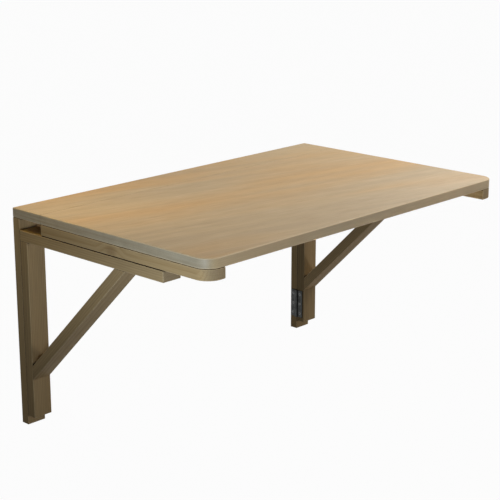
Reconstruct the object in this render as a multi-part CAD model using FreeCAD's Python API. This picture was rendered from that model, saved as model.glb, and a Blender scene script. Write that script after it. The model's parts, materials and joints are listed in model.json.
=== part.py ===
"""Wall-mounted folding desk in pine: a wall frame, a hinged leaf and two swing brackets.

Frame: millimetres, +Z up, +Y into the wall, +X to the right of someone facing the wall.
The origin lies on the wall plane, at mid-width, on the row of wall screws in the rail.
"""
import FreeCAD
import Part
import math
import os

# Overall sizes of the opened desk
desk_width = 800.0
desk_depth = 500.0
board_t = 18.0
front_corner_r = 18.0

# Eased edges: rounded where a hand meets them, bevelled on the wall strips and where two pieces meet
edge_r = 1.5
strip_edge_r = 1.0
edge_bevel = 1.0

# Strip stock: wall strips are thinner than bracket strips and battens
strip_w = 40.0
strip_t = 20.0
wall_t = 18.0

# Fixed shelf and hinged leaf meet in a seam, which lets the leaf lift a little
shelf_depth = 79.0
seam_gap = 0.5

# Wall posts and swing brackets
post_len = 400.0
post_foot = 18.8
arm_end = 396.0
brace_foot_rise = 104.0
bracket_gap = 0.5
leaf_gap = 1.2

# Glued joints: tenons in mortises, and a tongue under the shelf
tenon_len = 12.0
tenon_t = 8.0
tenon_w = 24.0
tongue_h = 6.0
tongue_inset = 10.0
glue_gap = 0.1

# Butt hinges
hinge_len = 62.0
plate_w = 16.0
plate_t = 1.5
barrel_r = 2.8
pin_r = 1.4
pin_clear = 0.05
knuckle_gap = 0.3
notch_clear = 0.3
knuckles = 3
desk_hinge_share = 0.28
lower_hinge_offset = 41.0
upper_hinge_offset = 50.0

# Hinge screws, countersunk flush into the plates
hinge_screw_r = 1.5
hinge_screw_head_r = 3.0
hinge_screw_len = 14.0
hinge_screw_shares = (-0.36, 0.0, 0.36)

# Batten screws, driven up through the battens into the leaf
batten_screw_r = 2.0
batten_screw_head_r = 4.0
batten_screw_len = 31.0
batten_screw_shares = (0.1, 0.5, 0.88)

# Screws repeat, so they are faceted
screw_sides = 6
screw_clear = 0.05

# Countersunk wall screw holes in the rail and, behind the stiles, in the posts
wall_hole_r = 2.75
wall_sink_r = 5.25
rail_hole_spacing = 560.0
post_hole_offset = 100.0

# Overrun of cutting tools, and how nearly parallel an edge has to be
cut_over = 1.0
parallel_tol_share = 1e-6

# Levels, measured from the row of wall screws at mid-height of the rail
under_z = strip_w / 2
top_z = under_z + board_t
batten_z = under_z - strip_t
arm_top_z = batten_z - leaf_gap
arm_low_z = arm_top_z - strip_t
post_low_z = under_z - post_len
stile_low_z = post_low_z + post_foot

# Planes across the depth
wall_mid_y = -wall_t / 2
post_front_y = -wall_t
stile_back_y = post_front_y - bracket_gap
stile_front_y = stile_back_y - strip_t
stile_mid_y = stile_back_y - strip_t / 2
shelf_front_y = -shelf_depth
leaf_back_y = shelf_front_y - seam_gap
leaf_front_y = -desk_depth

# Planes across the width, as distances from mid-width
outer_x = desk_width / 2
inner_x = outer_x - strip_w
strip_mid_x = outer_x - strip_w / 2

# The brace's legs and the middles of its two end cuts, on the stile's front and under the arm
brace_cut = strip_t * math.sqrt(2)
brace_leg = arm_low_z - stile_low_z - brace_foot_rise
brace_foot_z = arm_low_z - brace_leg - brace_cut / 2
brace_head_y = stile_front_y - brace_leg - brace_cut / 2

# Hinge axes and plates
desk_axis_y = shelf_front_y - seam_gap / 2
desk_axis_z = under_z - barrel_r
bracket_axis_x = inner_x - barrel_r
bracket_axis_y = post_front_y - bracket_gap / 2
plate_start = barrel_r + notch_clear
screw_line = (plate_start + plate_w) / 2
knuckle_len = hinge_len / knuckles
bracket_hinge_z = {
    "upper": arm_low_z - upper_hinge_offset,
    "lower": stile_low_z + lower_hinge_offset,
}

SIDES = {"left": -1, "right": 1}
FIXED = 1
MOVING = -1
X_AXIS = FreeCAD.Vector(1, 0, 0)
Y_AXIS = FreeCAD.Vector(0, 1, 0)
Z_AXIS = FreeCAD.Vector(0, 0, 1)


def block(x_ends, y_ends, z_ends, grow=0):
    """Box between two X, two Y and two Z planes, given in any order, grown on all sides."""
    ends = (x_ends, y_ends, z_ends)
    low = FreeCAD.Vector(*[min(pair) - grow for pair in ends])
    size = FreeCAD.Vector(*[max(pair) + grow for pair in ends]) - low
    return Part.makeBox(size.x, size.y, size.z, low)


def about(middle, size):
    """Two planes, a size apart, on both sides of a middle."""
    return middle - size / 2, middle + size / 2


def strip_x(side):
    """Outer and inner X planes of the strips on one side."""
    return side * outer_x, side * inner_x


def edges_along(shape, axis):
    """Straight edges of a shape that run parallel to an axis."""
    found = []
    for edge in shape.Edges:
        if not isinstance(edge.Curve, Part.Line):
            continue
        run = edge.tangentAt(edge.FirstParameter)
        if abs(run.dot(axis)) > 1 - parallel_tol_share:
            found.append(edge)
    return found


def rim(shape, level):
    """Edges of a shape that lie in the level plane at a height."""
    found = []
    for edge in shape.Edges:
        if all(abs(vertex.Z - level) < glue_gap for vertex in edge.Vertexes):
            found.append(edge)
    return found


def off_seam(edges):
    """Those of some edges that don't run along the seam."""
    return [e for e in edges if e.CenterOfMass.y < leaf_back_y - glue_gap]


def polygon(radius, height):
    """Corners of a regular polygon around Z at a height."""
    corners = []
    for index in range(screw_sides):
        angle = 2 * math.pi * index / screw_sides
        corners.append(FreeCAD.Vector(radius * math.cos(angle), radius * math.sin(angle), height))
    return corners


def faceted(sections):
    """Solid along Z with flat faces through regular polygons, given as (radius, height) pairs."""
    rings = [polygon(radius, height) for radius, height in sections]
    outlines = [rings[0], rings[-1]]
    for upper, lower in zip(rings, rings[1:]):
        for index in range(screw_sides):
            after = (index + 1) % screw_sides
            outlines.append([upper[index], upper[after], lower[after], lower[index]])
    faces = [Part.Face(Part.makePolygon(corners + corners[:1])) for corners in outlines]
    return Part.makeSolid(Part.makeShell(faces))


def screw(shank_r, head_r, length, grow=0):
    """Countersunk screw along -Z with its flat head at the origin, or its hole when grown."""
    head_h = head_r - shank_r
    sections = [
        (head_r + grow, 0),
        (shank_r + grow, -head_h),
        (shank_r + grow, -length - grow),
    ]
    if grow:
        sections.insert(0, (head_r + grow, cut_over))
    return faceted(sections)


def aim(shape, point, direction):
    """Move a shape made along Z so that its origin is at a point and +Z along a direction."""
    shape.Placement = FreeCAD.Placement(point, FreeCAD.Rotation(Z_AXIS, direction))
    return shape


def wall_hole(x, z):
    """Screw hole right through a wall strip, along Y, countersunk from the room."""
    start = FreeCAD.Vector(x, cut_over, z)
    bore = Part.makeCylinder(wall_hole_r, wall_t + 2 * cut_over, start, -Y_AXIS)
    sink_h = wall_sink_r - wall_hole_r
    start = FreeCAD.Vector(x, post_front_y + sink_h, z)
    sink = Part.makeCone(wall_hole_r, wall_sink_r + cut_over, sink_h + cut_over, start, -Y_AXIS)
    return bore.fuse(sink)


def rail_tenon(side, grow=0):
    """Tenon at one end of the rail, or its mortise in the post when grown."""
    x_ends = (side * inner_x, side * (inner_x + tenon_len))
    return block(x_ends, about(wall_mid_y, tenon_t), about(0, tenon_w), grow)


def rail_tongue(grow=0):
    """Tongue along the rail's top, or its groove in the shelf when grown."""
    length = 2 * (inner_x - tongue_inset)
    z_ends = (under_z, under_z + tongue_h)
    return block(about(0, length), about(wall_mid_y, tenon_t), z_ends, grow)


def stile_tenon(side, grow=0):
    """Tenon on top of a stile, or its mortise in the arm when grown."""
    x_ends = about(side * strip_mid_x, tenon_w)
    return block(x_ends, about(stile_mid_y, tenon_t), (arm_low_z, arm_low_z + tenon_len), grow)


def brace_foot_tenon(side, grow=0):
    """Tenon at the foot of a brace, or its mortise in the stile when grown."""
    x_ends = about(side * strip_mid_x, tenon_w)
    y_ends = (stile_front_y, stile_front_y + tenon_len)
    return block(x_ends, y_ends, about(brace_foot_z, tenon_t), grow)


def brace_head_tenon(side, grow=0):
    """Tenon at the head of a brace, or its mortise in the arm when grown."""
    x_ends = about(side * strip_mid_x, tenon_w)
    z_ends = (arm_low_z, arm_low_z + tenon_len)
    return block(x_ends, about(brace_head_y, tenon_t), z_ends, grow)


def desk_hinge_place(name):
    """Placement of a desk hinge: axis along the seam, plates against the undersides."""
    at = FreeCAD.Vector(SIDES[name] * desk_hinge_share * desk_width, desk_axis_y, desk_axis_z)
    return FreeCAD.Placement(at, FreeCAD.Rotation(Y_AXIS, 90))


def bracket_hinge_place(name, level):
    """Placement of a bracket hinge: upright axis, plates against the inner sides of the strips."""
    side = SIDES[name]
    at = FreeCAD.Vector(side * bracket_axis_x, bracket_axis_y, bracket_hinge_z[level])
    half_turn = 180 if side > 0 else 0
    return FreeCAD.Placement(at, FreeCAD.Rotation(Y_AXIS, half_turn))


def hinge_screws(place, half, grow=0):
    """Screws of the fixed or moving plate of one hinge, or their holes when grown."""
    face_x = plate_t - barrel_r
    screws = []
    for share in hinge_screw_shares:
        spot = FreeCAD.Vector(face_x, half * screw_line, share * hinge_len)
        piece = screw(hinge_screw_r, hinge_screw_head_r, hinge_screw_len, grow)
        piece = aim(piece, spot, X_AXIS)
        piece.Placement = place.multiply(piece.Placement)
        screws.append(piece)
    return screws


def desk_hinge_screws(half, grow=0):
    """Screws of all desk hinge plates on one side of the seam, or their holes."""
    screws = []
    for name in SIDES:
        screws += hinge_screws(desk_hinge_place(name), half, grow)
    return screws


def bracket_hinge_screws(name, half, grow=0):
    """Screws of both bracket hinges on one side of the desk, or their holes."""
    screws = []
    for level in bracket_hinge_z:
        screws += hinge_screws(bracket_hinge_place(name, level), half, grow)
    return screws


def batten_screws(side, grow=0):
    """Screws along one batten, or their holes when grown."""
    run = leaf_front_y - leaf_back_y
    screws = []
    for share in batten_screw_shares:
        spot = FreeCAD.Vector(side * strip_mid_x, leaf_back_y + share * run, batten_z)
        piece = screw(batten_screw_r, batten_screw_head_r, batten_screw_len, grow)
        screws.append(aim(piece, spot, -Z_AXIS))
    return screws


def hinge_plate(place, half):
    """One plate of a butt hinge with its rolled knuckles, pin bore and countersunk holes."""
    x_ends = (-barrel_r, plate_t - barrel_r)
    plate = block(x_ends, (half * plate_start, half * plate_w), about(0, hinge_len))
    first = 0 if half == FIXED else 1
    for index in range(first, knuckles, 2):
        low = index * knuckle_len - hinge_len / 2
        high = low + knuckle_len
        low += knuckle_gap / 2 if index > 0 else 0
        high -= knuckle_gap / 2 if index < knuckles - 1 else 0
        roll = Part.makeCylinder(barrel_r, high - low, Z_AXIS * low)
        web = block(x_ends, (0, half * plate_start), (low, high))
        plate = plate.fuse([roll, web])
    start = Z_AXIS * (-hinge_len / 2 - cut_over)
    bore = Part.makeCylinder(pin_r + pin_clear, hinge_len + 2 * cut_over, start)
    plate = plate.cut(bore).removeSplitter()
    plate = plate.cut(hinge_screws(FreeCAD.Placement(), half, screw_clear))
    plate.Placement = place.multiply(plate.Placement)
    return plate


def hinge_pin(place):
    """Pin that runs the whole length of a hinge's barrel."""
    pin = Part.makeCylinder(pin_r, hinge_len, Z_AXIS * (-hinge_len / 2))
    pin.Placement = place.multiply(pin.Placement)
    return pin


def wall_rail():
    """Rail between the posts, with its end tenons, top tongue and wall screw holes."""
    rail = block((-inner_x, inner_x), (-wall_t, 0), about(0, strip_w))
    rail = rail.makeChamfer(edge_bevel, [e for e in edges_along(rail, X_AXIS) if e.CenterOfMass.z < 0])
    rail = rail.fuse([rail_tongue()] + [rail_tenon(side) for side in SIDES.values()])
    holes = [wall_hole(side * rail_hole_spacing / 2, 0) for side in SIDES.values()]
    return rail.removeSplitter().cut(holes)


def wall_post(name):
    """Post under one end of the shelf, with its mortise, hinge screw holes and wall screw hole."""
    side = SIDES[name]
    post = block(strip_x(side), (-wall_t, 0), (post_low_z, under_z))
    front = [e for e in edges_along(post, Z_AXIS) if e.CenterOfMass.y < wall_mid_y]
    post = post.makeChamfer(edge_bevel, front)
    cuts = bracket_hinge_screws(name, FIXED, screw_clear)
    cuts.append(rail_tenon(side, glue_gap))
    cuts.append(wall_hole(side * strip_mid_x, post_low_z + post_hole_offset))
    return post.cut(cuts)


def back_shelf():
    """Fixed rear part of the top, grooved over the rail's tongue."""
    shelf = block((-outer_x, outer_x), (shelf_front_y, 0), (under_z, top_z))
    shelf = shelf.makeFillet(edge_r, edges_along(shelf, Y_AXIS))
    return shelf.cut(desk_hinge_screws(FIXED, screw_clear) + [rail_tongue(glue_gap)])


def leaf_board():
    """Hinged front part of the top, with rounded front corners and eased edges."""
    board = block((-outer_x, outer_x), (leaf_front_y, leaf_back_y), (under_z, top_z))
    corners = [e for e in edges_along(board, Z_AXIS) if e.CenterOfMass.y < leaf_back_y]
    board = board.makeFillet(front_corner_r, corners)
    board = board.makeFillet(edge_r, off_seam(rim(board, top_z)))
    board = board.makeChamfer(edge_bevel, off_seam(rim(board, under_z)))
    cuts = desk_hinge_screws(MOVING, screw_clear)
    for side in SIDES.values():
        cuts += batten_screws(side, screw_clear)
    return board.cut(cuts)


def batten(name):
    """Strip under one side of the leaf, rounded with the leaf's front corner."""
    side = SIDES[name]
    strip = block(strip_x(side), (leaf_front_y, leaf_back_y), (batten_z, under_z))
    uprights = edges_along(strip, Z_AXIS)
    corner = [
        e for e in uprights
        if e.CenterOfMass.y < leaf_back_y and abs(e.CenterOfMass.x) > strip_mid_x
    ]
    strip = strip.makeFillet(front_corner_r, corner)
    strip = strip.makeChamfer(edge_bevel, rim(strip, batten_z) + rim(strip, under_z))
    return strip.cut(batten_screws(side, screw_clear))


def stile(name):
    """Upright of one bracket, hinged to the post behind it and tenoned into the arm."""
    side = SIDES[name]
    strip = block(strip_x(side), (stile_front_y, stile_back_y), (stile_low_z, arm_low_z))
    strip = strip.makeFillet(strip_edge_r, edges_along(strip, Z_AXIS)).fuse(stile_tenon(side))
    cuts = bracket_hinge_screws(name, MOVING, screw_clear) + [brace_foot_tenon(side, glue_gap)]
    return strip.cut(cuts)


def arm(name):
    """Level strip of one bracket, on top of the stile and under the batten."""
    side = SIDES[name]
    strip = block(strip_x(side), (-arm_end, stile_back_y), (arm_low_z, arm_top_z))
    strip = strip.makeFillet(strip_edge_r, edges_along(strip, Y_AXIS))
    return strip.cut([stile_tenon(side, glue_gap), brace_head_tenon(side, glue_gap)])


def brace(name):
    """Sloping strip of one bracket, cut to seat on the stile and under the arm."""
    side = SIDES[name]
    outline = [
        (stile_front_y, brace_foot_z + brace_cut / 2),
        (brace_head_y + brace_cut / 2, arm_low_z),
        (brace_head_y - brace_cut / 2, arm_low_z),
        (stile_front_y, brace_foot_z - brace_cut / 2),
    ]
    points = [FreeCAD.Vector(min(strip_x(side)), y, z) for y, z in outline]
    strip = Part.Face(Part.makePolygon(points + points[:1])).extrude(X_AXIS * strip_w)
    slope = FreeCAD.Vector(0, -1, 1).normalize()
    strip = strip.makeFillet(strip_edge_r, edges_along(strip, slope))
    return strip.fuse([brace_foot_tenon(side), brace_head_tenon(side)])


def wooden_nodes():
    """Every strip and board, by node name."""
    nodes = {"wall_rail": wall_rail(), "back_shelf": back_shelf(), "leaf_board": leaf_board()}
    for name in SIDES:
        nodes[f"wall_post_{name}"] = wall_post(name)
        nodes[f"batten_{name}"] = batten(name)
        nodes[f"stile_{name}"] = stile(name)
        nodes[f"arm_{name}"] = arm(name)
        nodes[f"brace_{name}"] = brace(name)
    return nodes


def hinge_nodes():
    """The plates and pin of every hinge, by node name."""
    places = {f"desk_hinge_{name}": desk_hinge_place(name) for name in SIDES}
    for name in SIDES:
        for level in bracket_hinge_z:
            places[f"bracket_hinge_{name}_{level}"] = bracket_hinge_place(name, level)
    nodes = {}
    for name, place in places.items():
        nodes[f"{name}_fixed_plate"] = hinge_plate(place, FIXED)
        nodes[f"{name}_moving_plate"] = hinge_plate(place, MOVING)
        nodes[f"{name}_pin"] = hinge_pin(place)
    return nodes


def screw_nodes():
    """The groups of screws, by node name."""
    groups = {
        "desk_hinge_shelf_screws": desk_hinge_screws(FIXED),
        "desk_hinge_leaf_screws": desk_hinge_screws(MOVING),
    }
    for name, side in SIDES.items():
        groups[f"batten_screws_{name}"] = batten_screws(side)
        groups[f"bracket_hinge_post_screws_{name}"] = bracket_hinge_screws(name, FIXED)
        groups[f"bracket_hinge_stile_screws_{name}"] = bracket_hinge_screws(name, MOVING)
    return {name: Part.makeCompound(screws) for name, screws in groups.items()}


os.makedirs("parts", exist_ok=True)
for node_name, node_shape in {**wooden_nodes(), **hinge_nodes(), **screw_nodes()}.items():
    node_shape.exportStep(f"parts/{node_name}.step")
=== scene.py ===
"""Dresses the folding wall desk: pine boards and strips, rolled steel hinges, screws, and a plain studio.

Every piece is in metres in the desk's own frame: +X to the right, +Y into the wall, +Z up.
"""

import json
import logging
import math
from dataclasses import dataclass, field
from enum import Enum
from typing import Any, Iterable, Sequence

import bmesh
import bpy
from mathutils import Matrix, Vector


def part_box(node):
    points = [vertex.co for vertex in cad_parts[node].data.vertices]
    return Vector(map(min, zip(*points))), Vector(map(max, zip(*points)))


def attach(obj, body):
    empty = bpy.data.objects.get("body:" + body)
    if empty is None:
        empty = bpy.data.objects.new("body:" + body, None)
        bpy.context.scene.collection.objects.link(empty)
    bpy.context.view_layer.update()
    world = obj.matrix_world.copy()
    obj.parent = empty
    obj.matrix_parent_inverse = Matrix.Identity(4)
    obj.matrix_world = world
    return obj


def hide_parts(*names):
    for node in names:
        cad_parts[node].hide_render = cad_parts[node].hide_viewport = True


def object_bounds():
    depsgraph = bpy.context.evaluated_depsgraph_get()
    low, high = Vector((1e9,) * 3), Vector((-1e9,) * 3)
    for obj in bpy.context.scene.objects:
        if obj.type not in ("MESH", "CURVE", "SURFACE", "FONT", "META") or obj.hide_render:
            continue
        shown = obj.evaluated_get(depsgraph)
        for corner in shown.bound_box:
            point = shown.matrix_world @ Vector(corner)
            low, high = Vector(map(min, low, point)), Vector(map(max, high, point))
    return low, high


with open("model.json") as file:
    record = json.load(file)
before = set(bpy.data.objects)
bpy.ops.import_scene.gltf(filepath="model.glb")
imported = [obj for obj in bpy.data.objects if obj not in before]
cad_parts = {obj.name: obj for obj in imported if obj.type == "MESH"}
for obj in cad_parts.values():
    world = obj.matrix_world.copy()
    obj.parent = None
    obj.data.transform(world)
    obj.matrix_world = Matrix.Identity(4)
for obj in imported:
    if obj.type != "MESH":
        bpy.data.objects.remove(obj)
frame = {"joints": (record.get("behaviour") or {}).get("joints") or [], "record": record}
cad_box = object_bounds()

LOG = logging.getLogger("folding_desk")
MM = 0.001
X, Y, Z = Vector((1, 0, 0)), Vector((0, 1, 0)), Vector((0, 0, 1))
SHARP_ANGLE = math.radians(35)
ARC_STEP = 6
SEAM_SHARE = 0.2
SEAM_TOLERANCE = 0.05 * MM
CUT_PAST = 0.4 * MM
RIM = "rim"
PANEL_MIDDLE = Vector((0.0, -0.25, 0.029))
Colour = tuple[float, float, float, float]
Triple = tuple[float, float, float]
Span = tuple[float, float]
Spot = tuple[Vector, Vector]
Piece = bpy.types.Object
Material = bpy.types.Material
Socket = bpy.types.NodeSocket
WHITE: Colour = (1.0, 1.0, 1.0, 1.0)
NONE_TO_ALL: Span = (0.0, 1.0)
ALL_TO_NONE: Span = (1.0, 0.0)


class Grain(Enum):
    """Direction that the wood fibres of a piece run in."""

    ALONG_WIDTH = (1.0, 0.0, 0.0)
    ALONG_DEPTH = (0.0, 1.0, 0.0)
    UPRIGHT = (0.0, 0.0, 1.0)
    SLOPING = (0.0, -0.7071, 0.7071)

    def turn(self) -> Matrix:
        """Rotation that lays the fibres along X."""
        return Vector(self.value).rotation_difference(X).to_matrix()


class Named(Enum):
    """Choice that the names of nodes spell out."""

    @property
    def word(self) -> str:
        """The choice as the nodes spell it."""
        return self.name.lower()


class Side(Named):
    """Side of the desk, as someone facing the wall sees it."""

    LEFT = -1
    RIGHT = 1


class Half(Named):
    """Half of a hinge: its plate towards the wall, or its plate away from it."""

    FIXED = 1
    MOVING = -1


class NodeSketch:
    """Adds and wires the nodes of one tree."""

    def __init__(self, tree: bpy.types.NodeTree) -> None:
        """Start from an empty tree."""
        self.tree = tree
        tree.nodes.clear()

    def add(self, kind: str, inputs: dict[Any, Any] | None = None, **settings: Any) -> bpy.types.Node:
        """Add a node.

        Args:
            kind: Blender's name of the node type.
            inputs: Value or socket for each input, by its name or place.
            settings: Properties of the node.

        Returns:
            The new node.
        """
        node = self.tree.nodes.new(kind)
        for name, value in settings.items():
            setattr(node, name, value)
        for key, value in (inputs or {}).items():
            self.feed(node.inputs[key], value)
        return node

    def feed(self, socket: Socket, value: Any) -> None:
        """Link a socket to an input, or set the input's own value.

        Args:
            socket: Input that is fed.
            value: Output to link, or a plain value.
        """
        if isinstance(value, Socket):
            self.tree.links.new(value, socket)
        else:
            socket.default_value = value

    def math(self, operation: str, first: Any, second: Any = 0.0) -> Socket:
        """Result of one sum on two values or sockets."""
        return self.add("ShaderNodeMath", {0: first, 1: second}, operation=operation).outputs[0]

    def vector(self, operation: str, first: Any, second: Any = (0.0, 0.0, 0.0)) -> bpy.types.Node:
        """Node that works on two vectors."""
        return self.add("ShaderNodeVectorMath", {0: first, 1: second}, operation=operation)

    def noise(self, point: Any, stretch: Sequence[float], detail: float = 2.0) -> Socket:
        """Read smooth noise.

        Args:
            point: Where it is read.
            stretch: Cells per metre along each axis.
            detail: How many finer layers it has.

        Returns:
            Noise around one half.
        """
        placed = self.vector("MULTIPLY", point, stretch).outputs[0]
        inputs = {"Vector": placed, "Scale": 1.0, "Detail": detail}
        return self.add("ShaderNodeTexNoise", inputs).outputs[0]

    def span(self, value: Any, source: Span, target: Span) -> Socket:
        """Value carried smoothly from one range to another, held at its ends."""
        inputs = {0: value, 1: source[0], 2: source[1], 3: target[0], 4: target[1]}
        return self.add("ShaderNodeMapRange", inputs, interpolation_type="SMOOTHSTEP").outputs[0]

    def mix(self, share: Any, first: Any, second: Any) -> Socket:
        """Colour between two others."""
        return self.add("ShaderNodeMix", {0: share, 6: first, 7: second}, data_type="RGBA").outputs[2]

    def bump(self, height: Any, strength: float, distance: float) -> Socket:
        """Normal that follows a height."""
        inputs = {"Height": height, "Strength": strength, "Distance": distance}
        return self.add("ShaderNodeBump", inputs).outputs[0]


def new_material(name: str) -> tuple[Material, NodeSketch]:
    """Start an empty material.

    Args:
        name: Name of the material.

    Returns:
        The material and the sketch of its nodes.
    """
    material = bpy.data.materials.new(name)
    material.use_nodes = True
    return material, NodeSketch(material.node_tree)


@dataclass(frozen=True)
class Knot:
    """A knot in the wood: its place in the frame and its radius."""

    centre: Triple
    radius: float


@dataclass(frozen=True)
class PineFigure:
    """How the figure of pine is drawn.

    Cells of a noise are counted per metre, along the fibres and both ways across them. A range is the
    stretch of a noise or a share over which a tone changes.
    """

    seed_step: Triple = (1.7, 0.9, 0.4)
    pith_turn: float = 2.4
    pith_step: float = 7.3
    wander_cells: Triple = (1.1, 7.0, 7.0)
    ring_rise: Span = (0.35, 0.9)
    ring_fall: Span = (0.93, 1.0)
    cloud_cells: Triple = (1.6, 7.0, 7.0)
    cloud_range: Span = (0.3, 0.7)
    cloud_tones: Span = (0.95, 1.05)
    patch_range: Span = (0.42, 0.72)
    streak_cells: Triple = (2.2, 46.0, 46.0)
    streak_range: Span = (0.3, 0.7)
    streak_tones: Span = (-0.06, 0.06)
    fibre_cells: Triple = (22.0, 760.0, 760.0)
    fibre_range: Span = (0.25, 0.75)
    fibre_gloss: Span = (0.09, -0.06)
    side_range: Span = (0.2, 0.9)
    end_range: Span = (0.3, 1.0)
    line_cells: Triple = (6.0, 6.0, 420.0)
    line_range: Span = (0.35, 0.65)
    knot_squeeze: float = 0.55
    knot_range: Span = (0.3, 1.5)
    knot_shares: Span = (0.38, 0.0)
    swell_range: Span = (0.4, 3.2)
    swell_rings: float = 1.3
    # Stretch of ambient occlusion over which creases and joints take painted shade.
    groove_range: Span = (0.42, 0.97)
    # Openness over which eased edges take their wear and painted highlight.
    worn_range: Span = (0.88, 1.0)
    ring_relief: float = 0.5
    relief_strength: float = 0.22
    relief_depth: float = 0.25 * MM


@dataclass(frozen=True)
class PineFinish:
    """Oiled pine with growth rings around a pith, fine fibres, end grain, knots, lighter eased edges that
    are partly wear and partly painted highlight, painted shade in creases and joints, and greyer upright
    faces and ends that paint cool side light.
    """

    early: Colour = (0.46, 0.32, 0.157, 1.0)
    late: Colour = (0.335, 0.212, 0.089, 1.0)
    warm: Colour = (0.42, 0.264, 0.105, 1.0)
    # Greyer colour of upright faces: painted cool side light.
    side: Colour = (0.455, 0.36, 0.215, 1.0)
    # Colour of end faces: end grain, partly greyed to paint cool side light.
    end_grain: Colour = (0.325, 0.25, 0.153, 1.0)
    end_line: Colour = (0.27, 0.2, 0.115, 1.0)
    knot_core: Colour = (0.16, 0.082, 0.035, 1.0)
    # Lighter colour of eased edges: partly wear, partly painted highlight.
    worn: Colour = (0.76, 0.575, 0.33, 1.0)
    ring_width: float = 3.6 * MM
    ring_wander: float = 9 * MM
    pith_distance: float = 62 * MM
    ring_share: float = 0.5
    calm_ring_share: float = 1.0
    warm_share: float = 0.35
    fibre_share: float = 0.16
    side_share: float = 0.0
    end_share: float = 0.55
    rim_share: float = 0.4
    figure_slant: float = 0.0
    # Painted shade: how far ambient occlusion looks, and the darkest tone it paints into creases and joints.
    groove_reach: float = 5 * MM
    groove_tone: float = 0.12
    roughness: float = 0.5
    specular: float = 0.03
    figure: PineFigure = PineFigure()

    def place(self, sketch: NodeSketch, grain: Grain, centre: Vector) -> Socket:
        """Find the point of the wood that is shaded.

        Args:
            sketch: Nodes of the material.
            grain: Direction of the fibres.
            centre: Middle of the piece.

        Returns:
            Point in metres from the middle of the piece, with X along the fibres.
        """
        turn = grain.turn()
        coordinates = sketch.add("ShaderNodeTexCoord").outputs["Object"]
        inputs = {
            "Vector": coordinates,
            "Rotation": turn.to_euler(),
            "Location": -(turn @ centre),
        }
        return sketch.add("ShaderNodeMapping", inputs).outputs[0]

    def knot_fields(
        self, sketch: NodeSketch, point: Socket, spots: Iterable[tuple[Vector, float]]
    ) -> list[Socket]:
        """Measure how far each knot is.

        Args:
            sketch: Nodes of the material.
            point: Point of the wood.
            spots: Place and radius of each knot.

        Returns:
            Distance from each knot, counted in its radius and drawn out along the fibres.
        """
        fields = []
        for spot, radius in spots:
            away = sketch.vector("SUBTRACT", point, spot).outputs[0]
            squeeze = (self.figure.knot_squeeze / radius, 1.0 / radius, 1.0 / radius)
            scaled = sketch.vector("MULTIPLY", away, squeeze).outputs[0]
            fields.append(sketch.vector("LENGTH", scaled).outputs["Value"])
        return fields

    def faces(self, sketch: NodeSketch, way: Sequence[float]) -> Socket:
        """One where the surface faces along a way or against it, and zero where it runs along it."""
        facing = sketch.add("ShaderNodeTexCoord").outputs["Normal"]
        return sketch.math("ABSOLUTE", sketch.vector("DOT_PRODUCT", facing, way).outputs["Value"])

    def slanted(self, sketch: NodeSketch, point: Socket) -> Socket:
        """Shear a point so that streaks on level faces run a little across the fibres.

        Args:
            sketch: Nodes of the material.
            point: Point of the wood.

        Returns:
            The sheared point.
        """
        parts = sketch.add("ShaderNodeSeparateXYZ", {0: point}).outputs
        level = self.faces(sketch, Grain.UPRIGHT.value)
        across = sketch.math("MULTIPLY_ADD", parts[0], sketch.math("MULTIPLY", level, self.figure_slant))
        sketch.feed(across.node.inputs[2], parts[1])
        return sketch.add("ShaderNodeCombineXYZ", {0: parts[0], 1: across, 2: parts[2]}).outputs[0]

    def rings(self, sketch: NodeSketch, point: Socket, seed: int, knots: list[Socket]) -> Socket:
        """Draw growth rings around a pith beside the piece.

        Args:
            sketch: Nodes of the material.
            point: Point of the wood.
            seed: Which cut of wood it is.
            knots: Distance from each knot, which the rings bend around.

        Returns:
            Share of late wood.
        """
        figure = self.figure
        angle = figure.pith_turn * seed
        reach = self.pith_distance
        pith = (figure.pith_step * seed, reach * math.cos(angle), reach * math.sin(angle))
        shifted = self.slanted(sketch, sketch.vector("ADD", point, pith).outputs[0])
        parts = sketch.add("ShaderNodeSeparateXYZ", {0: shifted}).outputs
        wander = sketch.noise(shifted, figure.wander_cells)
        across = sketch.math("MULTIPLY_ADD", wander, self.ring_wander)
        across.node.inputs[2].default_value = -self.ring_wander / 2
        radius = sketch.math(
            "SQRT",
            sketch.math("ADD", sketch.math("POWER", parts[1], 2.0), sketch.math("POWER", parts[2], 2.0)),
        )
        radius = sketch.math("ADD", radius, across)
        for knot in knots:
            swell = sketch.span(knot, figure.swell_range, (figure.swell_rings * self.ring_width, 0.0))
            radius = sketch.math("ADD", radius, swell)
        phase = sketch.math("FRACT", sketch.math("DIVIDE", radius, self.ring_width))
        rise = sketch.span(phase, figure.ring_rise, NONE_TO_ALL)
        fall = sketch.span(phase, figure.ring_fall, ALL_TO_NONE)
        return sketch.math("MULTIPLY", rise, fall)

    def planed(self, sketch: NodeSketch, late: Socket, cloud: Socket) -> Socket:
        """Colour a planed face with rings, and with warm patches where the rings show more.

        Args:
            sketch: Nodes of the material.
            late: Share of late wood.
            cloud: Broad noise that the patches follow.

        Returns:
            The colour.
        """
        figure = self.figure
        strength = (self.calm_ring_share * self.ring_share, self.ring_share)
        ring = sketch.math("MULTIPLY", late, sketch.span(cloud, figure.patch_range, strength))
        warmth = sketch.span(cloud, figure.patch_range, (0.0, self.warm_share))
        return sketch.mix(warmth, sketch.mix(ring, self.early, self.late), self.warm)

    def sawn(self, sketch: NodeSketch, colour: Socket, point: Socket, grain: Grain) -> Socket:
        """Give upright faces a greyer colour, which paints cool light on the sides, and give the ends end
        grain with fine lines across it, partly greyed to paint the same light.

        Args:
            sketch: Nodes of the material.
            colour: Colour of a planed face.
            point: Point of the wood.
            grain: Direction of the fibres.

        Returns:
            The colour.
        """
        figure = self.figure
        level = self.faces(sketch, Grain.UPRIGHT.value)
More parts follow.
